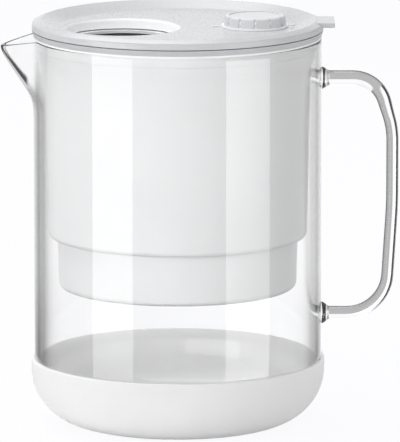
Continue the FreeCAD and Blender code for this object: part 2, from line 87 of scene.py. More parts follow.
# Painted shade of the glass: shares of its tint by how far the glass turns away from the eye
LEFT_PAINTED_EDGE_SHADE = (
    (0.46, 1.0), (0.56, 0.93), (0.64, 0.7), (0.7, 0.44),
    (0.748, 0.24), (0.775, 0.35), (0.83, 0.66), (1.0, 0.9))
RIGHT_PAINTED_EDGE_SHADE = (
    (0.46, 1.0), (0.56, 0.97), (0.64, 0.84), (0.73, 0.5), (0.77, 0.6), (0.85, 0.9), (1.0, 0.95))
# Painted dark line along the spout's fold
SPOUT_PAINTED_LINE = (
    (0.45, 1.0), (0.5, 0.5), (0.53, 0.0), (0.63, 0.0),
    (0.67, 0.6), (0.73, 1.0), (0.85, 0.5), (1.0, 0.1))
FLOOR_PAINTED_EDGE_SHADE = ((0.9, 1.0), (1.0, 0.95))
WELD_PAINTED_EDGE_SHADE = ((0.7, 1.0), (0.85, 0.9), (1.0, 1.0))
# Painted shade of the rod: on its edges, a grey on its upper and inner side and a dark line on its outer
# side
ROD_PAINTED_EDGE_SHADE = ((0.05, 1.0), (0.3, 1.0), (0.42, 0.9), (0.6, 0.9), (1.0, 0.95))
ROD_INNER_PAINTED_SHADE = (
    (0.02, 0.22), (0.2, 0.21), (0.36, 0.14), (0.5, 0.02), (0.64, 0.02), (0.8, 0.25), (1.0, 0.8))
ROD_OUTER_PAINTED_LINE = (
    (0.1, 1.0), (0.18, 0.8), (0.23, 0.0), (0.5, 0.0), (0.58, 0.05), (0.7, 0.3), (1.0, 0.8))

# Spans in metres over which a painted shade or painted light passes from none to full
RIGHT_SIDE = (-0.03, 0.03)
SPOUT_ROOT = (-0.0768, -0.0788)
FLANGE_RISE = (0.0006, 0.0009)
FUNNEL_EDGE = (0.0326, 0.0314)
FUNNEL_DROP = (-0.00005, -0.0008)
DISH_EDGE = (0.0604, 0.0598)
MARK_RISE = (0.0001, 0.0003)
GROOVE_SINK = (-0.0007, -0.0012)
GROOVE_DROP = (-0.0012, -0.0022)

# Spans of a face's turn over which a painted shade or painted light passes from none to full
OUTER_TURN = (0.3, 0.55)
INNER_TURN = (-0.08, -0.02)
UPWARD_TURN = (0.3, 0.6)
INWARD_TURN = (0.0, -0.002)
LEVEL_TURN = (0.4, 0.8)
HANDLE_OUTSIDE = (1, 0, 0)
HANDLE_INSIDE = (-0.707, 0, 0.707)

# Lid: where its funnel and its dial stand, and the dial's height above the dish
FUNNEL_X = -0.0288
DIAL_X = 0.0402
DIAL_RISE = 0.0062

# Finishes
GLASS_IOR = 1.47
PLASTIC_IOR = 1.46
CLOUD_SHARE = 0.02
GLOSS_SPREAD = 0.02
PATTERN_SPAN = (0.3, 0.7)
SCREEN_GAPS, SCREEN_THREADS = (0.35, 0.37, 0.4), (0.78, 0.8, 0.83)
FELT_DARK, FELT_LIGHT = (0.62, 0.6, 0.55), (0.86, 0.85, 0.81)
FLAT = (1, 1, 0)
WHITE = (1, 1, 1)

# Sockets of the Mix node, which has the same names for each kind of data
NUMBER_A, NUMBER_B, NUMBER_RESULT = 2, 3, 0
COLOUR_A, COLOUR_B, COLOUR_RESULT = 6, 7, 2

# Greys that are mirrored, by a ray's part away from the camera, upwards and across
BEHIND_SPAN = (0.5, 0.86)
BACKDROP_SPAN = (0.88, 0.97)
RISING_SPAN = (-0.02, 0.08)
STEEP_SPAN, STEEP_SHARES = (0.25, 0.5), (1.0, 0.3)
ACROSS_SPAN, ACROSS_SHARES = (-0.9, 0.9), (0.75, 1.25)

# Floor, with the grey that is mirrored close to the pitcher and how much the backdrop covers the shadow
FLOOR_RADIUS = 30
FLOOR_DROP = 0.0001
FLOOR_PAPER = (0.95, 0.95, 0.95, 1)
FLOOR_NEAR, FLOOR_NEAR_GREY = (0.2, 0.45), 0.3
FLOOR_COVER = 0.94

# Soft boxes as place and size, all turned to one point
LAMP_AIM = (0, 0, 0.12)
KEY_BOX = ((-1.05, -1.75, 0.62), (1.9, 1.1))
FILL_BOX = ((1.7, -1.1, 0.35), (1.2, 1.2))
TOP_BOX = ((-0.4, 0.45, 1.55), (1.5, 1.5))

# Strip lights: the turns of their sides from the camera's side in degrees, and the height of their top
LEFT_BAR = (-35, -70, 0.3)
RIGHT_BAR = (38, 77, 0.027)
BAR_DISTANCE = 1.2
BAR_BOTTOM = -1.0

# Camera: sensor in millimetres, picture in pixels and reach in metres
SENSOR = 36
PICTURE_HEIGHT = 442
CAMERA_REACH = 100

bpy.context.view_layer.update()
jug_low, jug_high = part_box("glass_jug")
sleeve_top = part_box("base_sleeve")[1].z
dial_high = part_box("reminder_dial")[1]
lid_face = dial_high.z - DIAL_RISE


def length(name, description, default):
    """A size in metres."""
    return FloatProperty(name=name, description=description, default=default, unit="LENGTH", precision=5)


def amount(name, description, default, **limits):
    """A plain number, a power or an angle."""
    return FloatProperty(name=name, description=description, default=default, **limits)


def colour(name, description, default):
    """A colour that the panel shows as a swatch."""
    return FloatVectorProperty(
        name=name, description=description, default=default, subtype="COLOR", min=0, max=1)


class GlassSettings(bpy.types.PropertyGroup):
    jug_radius: length("Jug radius", "Outside radius of the glass wall", jug_high.y)
    rim_height: length("Rim height", "Height of the level rim above the table", jug_high.z)
    wall: length("Wall", "Thickness of the blown wall", 0.0025)
    floor: length("Floor", "Thickness of the glass floor", 0.005)
    floor_height: length("Floor height", "Underside of the glass above the table", jug_low.z)
    corner: length("Corner", "Outside radius between wall and floor", 0.0272)
    sleeve_gap: length("Sleeve gap", "Air between the glass and the sleeve", 0.00006)
    rim_rounding: length("Rim rounding", "Fire polished rounding of the rim", 0.0009)
    spout_reach: length("Spout reach", "Where the spout's straight line would meet the rim", 0.0225)
    spout_slope: amount("Spout slope", "How fast the spout runs in", 0.68)
    spout_blend: length("Spout blend", "Easing where the spout runs out", 0.0026)
    spout_depth: length("Spout depth", "Where the spout runs out, below the rim", 0.042)
    lip_reach: length("Lip reach", "How far the lip stands out of the wall", 0.0179)
    lip_softness: length("Lip softness", "Easing where the spout turns up to its lip", 0.001)
    lip_drop: length("Lip drop", "How far the lip falls to the tip", 0.0039)
    spout_angle: amount(
        "Spout angle", "Half of the turn that the spout's root takes", math.radians(15), subtype="ANGLE")
    segments: IntProperty(name="Segments", description="Faces round the jug", default=360, min=64)
    handle_top: length("Handle top", "Height of the handle's top run", 0.1819)
    handle_bottom: length("Handle bottom", "Height of the handle's bottom run", 0.0574)
    handle_reach: length("Handle reach", "Grip's middle, out from the axis", 0.112)
    shoulder_inset: length("Shoulder inset", "How far the top corner stands in from the grip", 0.0079)
    shoulder_drop: length("Shoulder drop", "From the top run down to the grip", 0.0269)
    lean: length("Lean", "How far the grip leans in at its lower end", 0.0036)
    lean_rise: length("Lean rise", "Where the lean starts, above the bottom run", 0.0582)
    rod_top: length("Rod at the top", "Thickness of the rod's top run", 0.0078)
    rod_grip: length("Rod at the grip", "Thickness of the rod along the grip", 0.0064)
    rod_bottom: length("Rod at the bottom", "Thickness of the rod's bottom run", 0.007)
    tint: colour("Tint", "Colour of the glass", (0.998, 0.999, 1.0))


class FinishSettings(bpy.types.PropertyGroup):
    silicone: colour("Silicone", "Colour of the base sleeve", (0.92, 0.92, 0.93))
    # Painted light: a lighter copy of the silicone on the sleeve's inside and on its faces turned up
    sleeve_inside_painted_light: colour("Sleeve inside", "Colour of the sleeve's inside", (0.99, 0.99, 0.99))
    seals: colour("Seals", "Colour of the sealing rings", (0.88, 0.885, 0.89))
    hopper: colour("Hopper", "Colour of the hopper", (0.78, 0.783, 0.79))
    # Painted shade: the hopper's inside is the same plastic, made darker where it lies in shade
    inside: colour("Hopper inside", "Colour of the hopper's matt inside", (0.6, 0.605, 0.615))
    # Painted shade: the flange is the hopper's own plastic, made darker under the lid
    flange_painted_shade: colour("Flange", "Colour of the hopper's flange", (0.47, 0.475, 0.49))
    lid: colour("Lid", "Colour of the lid", (0.55, 0.555, 0.57))
    # Painted light: the lid's plastic made lighter inside the fill funnel
    funnel_painted_light: colour("Funnel", "Colour of the fill funnel's inside", (0.97, 0.975, 0.985))
    dial: colour("Dial", "Colour of the reminder dial", (0.66, 0.665, 0.68))
    # Painted light: the lid's and the dial's plastic made lighter on the raised marks and in the dial's
    # grooves
    marks_painted_light: colour("Marks", "Colour of the raised marks round the dial", (0.97, 0.975, 0.985))
    cartridge: colour("Cartridge", "Colour of the cartridge", (0.78, 0.8, 0.83))
    carbon: colour("Carbon", "Colour of the carbon granules", (0.02, 0.02, 0.022))
    resin: colour("Resin", "Colour of the resin beads", (0.5, 0.3, 0.09))


class StudioSettings(bpy.types.PropertyGroup):
    backdrop: colour("Backdrop", "Colour of the floor and the backdrop", (0.985, 0.985, 1.0))
    ambient: amount("Ambient", "Even light from all round", 0.48, min=0)
    surround: amount("Surround", "Grey mirrored from the camera's side", 1.1, min=0)
    behind: amount("Behind", "Grey mirrored from behind the pitcher", 0.45, min=0)
    within: amount("Within", "Grey mirrored inside the glass", 0.85, min=0)
    key: amount("Key", "Power of the soft box at the left", 18.5, subtype="POWER")
    fill: amount("Fill", "Power of the soft box at the right", 2.5, subtype="POWER")
    top: amount("Top", "Power of the soft box above", 18.5, subtype="POWER")
    bars: amount("Bars", "Brightness of the strip lights seen in the glass", 3.4)
    camera_distance: length("Camera distance", "From the camera to the axis, along the floor", 3.65)
    camera_height: length("Camera height", "Height of the camera above the floor", 0.764)
    aim_height: length("Aim height", "Height that the camera looks at", 0.106)
    aim_side: length("Aim side", "How far the camera stands to the handle's side", 0.01165)
    pixel: length("Pixel", "Width of one pixel at the axis", 0.0005226)


def clear_selection():
    """Leaves edit mode and deselects everything."""
    if bpy.context.object and bpy.context.object.mode != "OBJECT":
        bpy.ops.object.mode_set(mode="OBJECT")
    bpy.ops.object.select_all(action="DESELECT")


def only(piece):
    """Selects one piece and makes it the active one."""
    clear_selection()
    piece.select_set(True)
    bpy.context.view_layer.objects.active = piece


def grow_ring(start, stop):
    """Extrudes the selected ring from one (radius, height) to the next."""
    bpy.ops.mesh.extrude_region_move(TRANSFORM_OT_translate={"value": (0, 0, stop[1] - start[1])})
    share = stop[0] / start[0]
    bpy.ops.transform.resize(value=(share, share, 1), center_override=(0, 0, stop[1]))


def turned_solid(stations, segments):
    """A closed round solid about the upright axis, grown through (radius, height) stations."""
    radius, height = stations[0]
    clear_selection()
    bpy.ops.mesh.primitive_circle_add(vertices=segments, radius=radius, location=(0, 0, height))
    solid = bpy.context.object
    bpy.ops.object.transform_apply(location=True)
    bpy.ops.object.mode_set(mode="EDIT")
    bpy.ops.mesh.select_mode(type="EDGE")
    bpy.ops.mesh.select_all(action="SELECT")
    for start, stop in zip(stations, stations[1:]):
        grow_ring(start, stop)
    bpy.ops.mesh.edge_face_add()
    bpy.ops.mesh.select_all(action="DESELECT")
    bpy.ops.mesh.select_non_manifold()
    bpy.ops.mesh.edge_face_add()
    bpy.ops.mesh.select_all(action="SELECT")
    bpy.ops.mesh.normals_make_consistent(inside=False)
    bpy.ops.object.mode_set(mode="OBJECT")
    return solid


def rows_between(low, high, count):
    """Heights that divide a rise evenly, without its lower end."""
    return [low + (high - low) * step / count for step in range(1, count + 1)]


def arc(centre, radius, start, stop, steps):
    """Stations on an arc about a (radius, height) centre, with angles in degrees from outwards."""
    angles = [math.radians(start + (stop - start) * step / steps) for step in range(steps + 1)]
    return [(centre[0] + radius * math.cos(a), centre[1] + radius * math.sin(a)) for a in angles]


def jug_stations(glass):
    """Rings of the jug from its underside, up the outside, over the rim and down to the inside floor."""
    gap = glass.sleeve_gap
    outside, inside = glass.jug_radius, glass.jug_radius - glass.wall
    low = glass.floor_height + gap
    floor_top = glass.floor_height + glass.floor
    rounding = glass.rim_rounding
    rim_side = glass.rim_height - rounding
    inner_corner = glass.corner - glass.wall
    flat = outside - glass.corner
    spout_start = glass.rim_height - glass.spout_depth - SPOUT_MARGIN
    rows = rows_between(sleeve_top, spout_start, WALL_ROWS)
    rows += rows_between(spout_start, rim_side, SPOUT_ROWS)[:-1]
    stations = [(flat - FLOOR_INSET, low)]
    stations += arc((flat - gap, low + glass.corner), glass.corner, -90, 0, CORNER_STEPS)
    stations += [(outside - gap, sleeve_top - SLEEVE_STEP), (outside, sleeve_top + SLEEVE_STEP)]
    stations += [(outside, height) for height in rows]
    stations += arc((outside - rounding, rim_side), rounding, 0, 90, RIM_STEPS)
    stations += arc((inside + rounding, rim_side), rounding, 90, 180, RIM_STEPS)
    stations += [(inside, height) for height in reversed(rows)]
    inner_centre = (inside - inner_corner, floor_top + inner_corner)
    stations += arc(inner_centre, inner_corner, 0, -90, CORNER_STEPS)
    stations += [(flat - FLOOR_INSET, floor_top)]
    return stations


def spout_line(glass, depth):
    """Overhang of the spout on its straight part, held back to an upright lip at the top."""
    straight = glass.spout_reach - glass.spout_slope * depth
    beyond = straight - glass.lip_reach
    return (straight + glass.lip_reach - math.hypot(beyond, 2 * glass.lip_softness)) / 2


def spout_overhang(glass, depth):
    """How far the spout stands out at a depth below the rim, eased into the wall at the toe."""
    line = spout_line(glass, depth)
    toe = spout_line(glass, glass.spout_depth)
    return (line + math.hypot(line, glass.spout_blend) - toe - math.hypot(toe, glass.spout_blend)) / 2


def spout_share(turn, tip_softness):
    """Share of the overhang at a turn from the spout's middle: 1 at the tip, 0 where the root ends."""

    def eased(value):
        side = 1 - math.hypot(value, tip_softness)
        return side + math.hypot(side, ROOT_SOFTNESS)

    return (eased(turn) - eased(ROOT_END)) / (eased(0) - eased(ROOT_END))


def spout_point(glass, turn, depth, inset):
    """Point of the pulled wall in plan, inset from its outside."""
    softness = TIP_SOFTNESS + TIP_WIDENING * max(depth, 0) / glass.spout_depth
    sink = 0.00005

    def outside(at):
        angle = math.pi - glass.spout_angle * at
        swell = (spout_overhang(glass, depth) + sink) * spout_share(at, softness) - sink
        radius = glass.jug_radius + max(swell, 0)
        return Vector((radius * math.cos(angle), radius * math.sin(angle), 0))

    small = 1e-3
    along = (outside(turn + small) - outside(turn - small)).normalized()
    return outside(turn) + Vector((along.y, -along.x, 0)) * inset


def pull_spout(jug, glass):
    """Pulls the soft rim out to a V and lets its lip fall to the tip."""
    root_x = -glass.jug_radius * math.cos(glass.spout_angle)
    fall_rate = glass.lip_drop / glass.lip_reach
    run_out = glass.spout_depth + SPOUT_RUN_OUT
    for vertex in jug.data.vertices:
        place = vertex.co
        depth = glass.rim_height - place.z
        turn = (math.pi - math.atan2(place.y, place.x) % (2 * math.pi)) / glass.spout_angle
        if depth > run_out or abs(turn) > ROOT_END:
            continue
        inset = glass.jug_radius - math.hypot(place.x, place.y)
        fall = 0
        for _ in range(FALL_ROUNDS):
            fall = fall_rate * max(0, root_x - spout_point(glass, turn, fall, inset).x)
        height = place.z - fall * (1 - depth / run_out)
        moved = spout_point(glass, turn, glass.rim_height - height, inset)
        vertex.co = (moved.x, moved.y, height)


def handle_corners(glass):
    """Corners of the rod's middle line from the top weld to the bottom one."""
    start, grip = glass.jug_radius - ROD_SINK, glass.handle_reach
    places = (
        (start, glass.handle_top),
        (grip - glass.shoulder_inset, glass.handle_top),
        (grip, glass.handle_top - glass.shoulder_drop),
        (grip, glass.handle_bottom + glass.lean_rise),
        (grip - glass.lean, glass.handle_bottom),
        (start, glass.handle_bottom),
    )
    return [Vector((out, 0, height)) for out, height in places]


def handle_knots(glass):
    """Place, incoming and outgoing handle of the rod's knots: bends as arcs, straight runs between."""
    corners = handle_corners(glass)
    knots = [[corners[0]] * 3]
    for before, corner, after, bend in zip(corners, corners[1:], corners[2:], HANDLE_BENDS):
        back = (before - corner).normalized()
        ahead = (after - corner).normalized()
        turn = math.pi - back.angle(ahead)
        tangent = bend * math.tan(turn / 2)
        pull = bend * 4 / 3 * math.tan(turn / 4)
        begin, end = corner + back * tangent, corner + ahead * tangent
        knots.append([begin, begin, begin - back * pull])
        knots.append([end, end - ahead * pull, end])
    knots.append([corners[-1]] * 3)
    for first, second in zip(knots, knots[1:]):
        if first[2] == first[0] and second[1] == second[0]:
            first[2] = first[0].lerp(second[0], 1 / 3)
            second[1] = first[0].lerp(second[0], 2 / 3)
    return knots


def rod_halves(glass, count):
    """Half thickness of the rod at each of its knots."""
    top, grip, bottom = glass.rod_top / 2, glass.rod_grip / 2, glass.rod_bottom / 2
    first = [top, top, top * (1 - SHOULDER_SHARE) + grip * SHOULDER_SHARE]
    last = [bottom * (1 - FOOT_SHARE) + grip * FOOT_SHARE, bottom]
    return first + [grip] * (count - len(first) - len(last)) + last


def bend_handle(glass):
    """Bends the rod of the handle."""
    clear_selection()
    bpy.ops.curve.primitive_bezier_curve_add(location=(0, 0, 0))
    rod = bpy.context.object
    curve = rod.data
    curve.dimensions = "3D"
    curve.twist_mode = "MINIMUM"
    curve.resolution_u = ROD_STEPS
    curve.bevel_depth = 1
    curve.bevel_resolution = ROD_STEPS
    curve.use_fill_caps = True
    knots = handle_knots(glass)
    spline = curve.splines[0]
    spline.bezier_points.add(len(knots) - len(spline.bezier_points))
    spline.radius_interpolation = "LINEAR"
    for point, knot, half in zip(spline.bezier_points, knots, rod_halves(glass, len(knots))):
        point.handle_left_type = point.handle_right_type = "FREE"
        point.co, point.handle_left, point.handle_right = knot
        point.radius = half
    bpy.ops.object.convert(target="MESH")
    return rod


def weld_bead(glass, height, rod_half):
    """One bead that welds the rod to the wall: a collar that thins out along the rod."""
    taper = [(rod_half + over, away) for over, away in BEAD_TAPER]
    bead = turned_solid([*BEAD_COLLAR, *taper], BEAD_SEGMENTS)
    bead.rotation_euler = (0, math.pi / 2, 0)
    bead.location = (glass.jug_radius, 0, height)
    only(bead)
    bpy.ops.object.transform_apply(location=True, rotation=True)
    return bead


def fuse(body, part):
    """Joins a part to a body as one piece of glass."""
    only(body)
    union = body.modifiers.new("fuse", "BOOLEAN")
    union.operation = "UNION"
    union.solver = "EXACT"
    union.material_mode = "TRANSFER"
    union.object = part
    bpy.ops.object.modifier_apply(modifier=union.name)
    bpy.data.objects.remove(part)


def feed(tree, socket, value):
    """Links a socket to another one, or sets it to a plain value."""
    if isinstance(value, bpy.types.NodeSocket):
        tree.links.new(value, socket)
    else:
        socket.default_value = value


def add_node(tree, kind, **values):
    """A node with its inputs and its options set by name."""
    node = tree.nodes.new(kind)
    for key, value in values.items():
        if key in node.inputs:
            feed(tree, node.inputs[key], value)
        else:
            setattr(node, key, value)
    return node


def maths(tree, operation, *values):
    """A sum on sockets or numbers."""
    node = add_node(tree, "ShaderNodeMath", operation=operation)
    for socket, value in zip(node.inputs, values):
        feed(tree, socket, value)
    return node.outputs[0]


def both_of(tree, first, second):
    """Two masks at once, or a mask at part strength."""
    return maths(tree, "MULTIPLY", first, second)


def none_yet(tree, count):
    """1 while a whole count is still 0."""
    return maths(tree, "LESS_THAN", count, 0.5)


def vectors(tree, operation, result, *values):
    """A sum on vectors, with the name of the result: a Value or a Vector."""
    node = add_node(tree, "ShaderNodeVectorMath", operation=operation)
    for socket, value in zip(node.inputs, values):
        feed(tree, socket, value)
    return node.outputs[result]


def axes_of(tree, vector):
    """X, Y and Z of a vector."""
    return add_node(tree, "ShaderNodeSeparateXYZ", Vector=vector).outputs[:]


def coordinates(tree, kind):
    """Texture coordinates of one kind."""
    return add_node(tree, "ShaderNodeTexCoord").outputs[kind]


def place_on(tree, stretch=(1, 1, 1)):
    """Object coordinates in metres, stretched."""
    mapping = add_node(tree, "ShaderNodeMapping", Vector=coordinates(tree, "Object"), Scale=stretch)
    return mapping.outputs["Vector"]


def ramp_to(tree, value, span, ends, kind="LINEAR"):
    """Ramp from one value to another over a span, level outside it."""
    ramp = add_node(tree, "ShaderNodeMapRange", interpolation_type=kind, Value=value)
    for name, number in zip(("From Min", "From Max", "To Min", "To Max"), (*span, *ends)):
        ramp.inputs[name].default_value = number
    return ramp.outputs["Result"]


def fade(tree, value, span, start=0.0):
    """Soft mask from 0 at a span's first end to 1 at its second, both measured from a start."""
    return ramp_to(tree, value, [start + end for end in span], (0, 1), "SMOOTHSTEP")


def colours_by(tree, value, stops):
    """Colour by a value, through (position, colour) stops."""
    ramp = add_node(tree, "ShaderNodeValToRGB", Fac=value)
    elements = ramp.color_ramp.elements
    elements[0].position, elements[1].position = stops[0][0], stops[-1][0]
    for position, _ in stops[1:-1]:
        elements.new(position)
    for element, (_, shade) in zip(elements, stops):
        element.color = (*shade, 1)
    return ramp.outputs["Color"]


def shade_of(colour_value, share):
    """A colour made darker or lighter by a share."""
    return tuple(min(1.0, part * share) for part in colour_value)


def speckle(tree, scale, detail, roughness=0.5, stretch=(1, 1, 1)):
    """Cloudy pattern, with its scale per metre."""
    place = place_on(tree, stretch)
    noise = add_node(
        tree, "ShaderNodeTexNoise", Vector=place, Scale=scale, Detail=detail, Roughness=roughness)
    return noise.outputs["Fac"]


def spread(tree, pattern, low, high):
    """Spreads a pattern over a range of values."""
    return ramp_to(tree, pattern, PATTERN_SPAN, (low, high))


def blend_colours(tree, pattern, first, second):
    """Two colours blended by a pattern."""
    return colours_by(tree, pattern, list(zip(PATTERN_SPAN, (first, second))))


def emboss(tree, pattern, depth):
    """Fine relief of a pattern, with its depth in metres."""
    bump = add_node(tree, "ShaderNodeBump", Strength=1.0, Distance=depth, Height=pattern)
    return bump.outputs["Normal"]


def main_shader(material):
    """The shader that a new node material starts with."""
    return material.node_tree.nodes["Principled BSDF"]


def new_finish(name):
    """A node material, its nodes and its main shader."""
    material = bpy.data.materials.new(name)
    material.use_nodes = True
    return material, material.node_tree, main_shader(material)


def set_inputs(tree, shader, values):
    """Sets or links a shader's inputs by name."""
    for name, value in values.items():
        feed(tree, shader.inputs[name], value)


def mix_shaders(tree, share, first, second):
    """One shader where a mask is 0 and another where it is 1."""
    mix = add_node(tree, "ShaderNodeMixShader")
    for socket, value in zip(mix.inputs, (share, first, second)):
        tree.links.new(value, socket)
    return mix.outputs[0]


def turned_to(tree, way, span):
    """Mask of what faces a way."""
    return fade(tree, vectors(tree, "DOT_PRODUCT", "Value", coordinates(tree, "Normal"), way), span)


def from_outside(tree, mask):
    """A mask kept to where light enters the glass."""
    surface = add_node(tree, "ShaderNodeNewGeometry")
    return both_of(tree, mask, none_yet(tree, surface.outputs["Backfacing"]))


def facing_inwards(tree):
    """Mask of what faces the upright axis."""
    outwards = vectors(tree, "MULTIPLY", "Vector", coordinates(tree, "Object"), FLAT)
    turn = vectors(tree, "DOT_PRODUCT", "Value", outwards, coordinates(tree, "Normal"))
    return fade(tree, turn, INWARD_TURN)


def facing_upwards(tree):
    """Mask of what faces up, such as the sleeve's floor."""
    return turned_to(tree, (0, 0, 1), UPWARD_TURN)


def level(tree):
    """Mask of what lies level, such as the jug's floor."""
    _, _, rise = axes_of(tree, coordinates(tree, "Normal"))
    return fade(tree, maths(tree, "ABSOLUTE", rise), LEVEL_TURN)


def about_axis(tree, centre_x):
    """Distance from an upright axis, and height."""
    place = vectors(tree, "SUBTRACT", "Vector", place_on(tree), (centre_x, 0, 0))
    across = vectors(tree, "LENGTH", "Value", vectors(tree, "MULTIPLY", "Vector", place, FLAT))
    return across, axes_of(tree, place)[2]


def at_flange(tree):
    """Mask of the hopper's flange, above the glass, where its painted shade goes."""
    _, _, height = axes_of(tree, place_on(tree))
    return fade(tree, height, FLANGE_RISE, jug_high.z)


def in_funnel(tree):
    """Mask of the fill funnel's inside, below the lid's top, where its painted light goes."""
    across, height = about_axis(tree, FUNNEL_X)
    return both_of(tree, fade(tree, across, FUNNEL_EDGE), fade(tree, height, FUNNEL_DROP, lid_face))


def raised_marks(tree):
    """Mask of the ring and the marks that stand up out of the lid's dish, where their painted light
    goes.
    """
    across, height = about_axis(tree, 0.0)
    return both_of(tree, fade(tree, across, DISH_EDGE), fade(tree, height, MARK_RISE, lid_face))


def in_grooves(tree):
    """Mask of the dial's finger grooves, below its top edge, where their painted light goes."""
    across, height = about_axis(tree, DIAL_X)
    sunk = fade(tree, across, GROOVE_SINK, dial_high.y)
    return both_of(tree, sunk, fade(tree, height, GROOVE_DROP, dial_high.z))


def painted_edge_shade(tree, tint, edges):
    """Painted shade on glass: its colour by how far it turns away from the eye."""
    facing = add_node(tree, "ShaderNodeLayerWeight", Blend=0.5)
    stops = [(position, shade_of(tint, share)) for position, share in edges]
    return colours_by(tree, facing.outputs["Facing"], stops)


def overlay(material, share, top):
    """Lays another colour over the base colour where a mask says so."""
    tree, base = material.node_tree, main_shader(material).inputs["Base Color"]
    mix = add_node(tree, "ShaderNodeMix", data_type="RGBA", Factor=share)
    tree.links.new(base.links[0].from_socket, mix.inputs[COLOUR_A])
    tree.links.new(top, mix.inputs[COLOUR_B])
    tree.links.new(mix.outputs[COLOUR_RESULT], base)


def paint_light_or_shade(material, mask, colour_value):
    """Painted light or shade: a lighter or darker shade of the same plastic where a mask says so."""
    tree = material.node_tree
    shade = add_node(tree, "ShaderNodeRGB")
    shade.outputs[0].default_value = (*colour_value, 1)
    overlay(material, mask(tree), shade.outputs[0])


def let_light_in(material, weight, depth):
    """Milky plastic: light goes in and comes out again a little way off."""
    set_inputs(material.node_tree, main_shader(material), {
        "Subsurface Weight": weight,
        "Subsurface Radius": (1, 1, 1),
        "Subsurface Scale": depth,
    })


def clear_glass(name, tint, edges):
    """Blown glass: clear, with a painted shade that deepens its edges, faint draw lines and a touch of
    handling haze.
    """
    material, tree, shader = new_finish(name)
    haze = speckle(tree, scale=38, detail=4)
    draw_lines = speckle(tree, scale=55, detail=1, stretch=(1, 1, 0.12))
    set_inputs(tree, shader, {
        "Base Color": painted_edge_shade(tree, tint, edges),
        "Transmission Weight": 1,
        "IOR": GLASS_IOR,
        "Roughness": spread(tree, haze, 0.0, 0.012),
        "Normal": emboss(tree, draw_lines, depth=0.000004),
    })
    return material


def wall_glass(tint):
    """Glass of the jug: a painted shade deepens its edges softly, less on its right side and its level
    floor, and a painted dark line runs along the spout's fold.
    """
    material = clear_glass("clear_glass", tint, LEFT_PAINTED_EDGE_SHADE)
    tree = material.node_tree
    across, _, _ = axes_of(tree, place_on(tree))
    # Painted shade at the edges: lighter on the right side, faint on the level floor, a dark line along
    # the spout's fold
    overlay(material, fade(tree, across, RIGHT_SIDE), painted_edge_shade(tree, tint, RIGHT_PAINTED_EDGE_SHADE))
    overlay(material, level(tree), painted_edge_shade(tree, tint, FLOOR_PAINTED_EDGE_SHADE))
    overlay(material, fade(tree, across, SPOUT_ROOT), painted_edge_shade(tree, tint, SPOUT_PAINTED_LINE))
    return material


def rod_glass(tint):
    """Solid glass rod with painted shade: grey painted on its upper and inner side and a dark line
    painted on its outer side.
    """
    material = clear_glass("rod_glass", tint, ROD_PAINTED_EDGE_SHADE)
    tree = material.node_tree
    outer = from_outside(tree, turned_to(tree, HANDLE_OUTSIDE, OUTER_TURN))
    overlay(material, outer, painted_edge_shade(tree, tint, ROD_OUTER_PAINTED_LINE))
    inner = from_outside(tree, turned_to(tree, HANDLE_INSIDE, INNER_TURN))
    overlay(material, inner, painted_edge_shade(tree, tint, ROD_INNER_PAINTED_SHADE))
    return material


def moulded(name, tint, roughness, grain, depth):
    """Moulded plastic or rubber: even colour with faint clouds, spark eroded grain and uneven gloss."""
    material, tree, shader = new_finish(name)
    clouds = speckle(tree, scale=22, detail=2)
    fine = speckle(tree, scale=grain, detail=2, roughness=0.6)
    darker, lighter = shade_of(tint, 1 - CLOUD_SHARE), shade_of(tint, 1 + CLOUD_SHARE)
    set_inputs(tree, shader, {
        "Base Color": blend_colours(tree, clouds, darker, lighter),
        "Roughness": spread(tree, fine, roughness - GLOSS_SPREAD, roughness + GLOSS_SPREAD),
        "Normal": emboss(tree, fine, depth),
        "IOR": PLASTIC_IOR,
    })
    return material


def woven_screen(name):
    """Fine woven filter screen."""
    material, tree, shader = new_finish(name)
    place = place_on(tree)
    bands = []
    for direction in ("X", "Y"):
        wave = add_node(tree, "ShaderNodeTexWave", bands_direction=direction, Vector=place, Scale=420)
        bands.append(wave.outputs["Fac"])
    threads = maths(tree, "MAXIMUM", *bands)
    set_inputs(tree, shader, {
        "Base Color": blend_colours(tree, threads, SCREEN_GAPS, SCREEN_THREADS),
        "Roughness": 0.6,
        "Normal": emboss(tree, threads, depth=0.0001),
    })
    return material


def granules(name, tint, size, roughness):
    """Packed grains, each with its own shade."""
    material, tree, shader = new_finish(name)
    cells = add_node(
        tree, "ShaderNodeTexVoronoi", Vector=place_on(tree), Scale=1 / size, Randomness=0.9)
    grey = add_node(tree, "ShaderNodeRGBToBW", Color=cells.outputs["Color"])
    lumps = maths(tree, "SUBTRACT", 1, cells.outputs["Distance"])
    darker, lighter = shade_of(tint, 0.6), shade_of(tint, 1.5)
    set_inputs(tree, shader, {
        "Base Color": blend_colours(tree, grey.outputs["Val"], darker, lighter),
        "Roughness": roughness,
        "Normal": emboss(tree, lumps, depth=size * 0.6),
    })
    return material


def felted(name):
    """Pressed felt with short loose fibres."""
    material, tree, shader = new_finish(name)
    fibres = speckle(tree, scale=900, detail=6, roughness=0.7, stretch=(1, 1, 4))
    set_inputs(tree, shader, {
        "Base Color": blend_colours(tree, fibres, FELT_DARK, FELT_LIGHT),
        "Roughness": 0.95,
        "Sheen Weight": 0.3,
        "Normal": emboss(tree, fibres, depth=0.0002),
    })
    return material


def dress(names, material):
    """Gives CAD nodes a finish."""
    for name in names:
        for slot in nodes[name].material_slots:
            slot.material = material


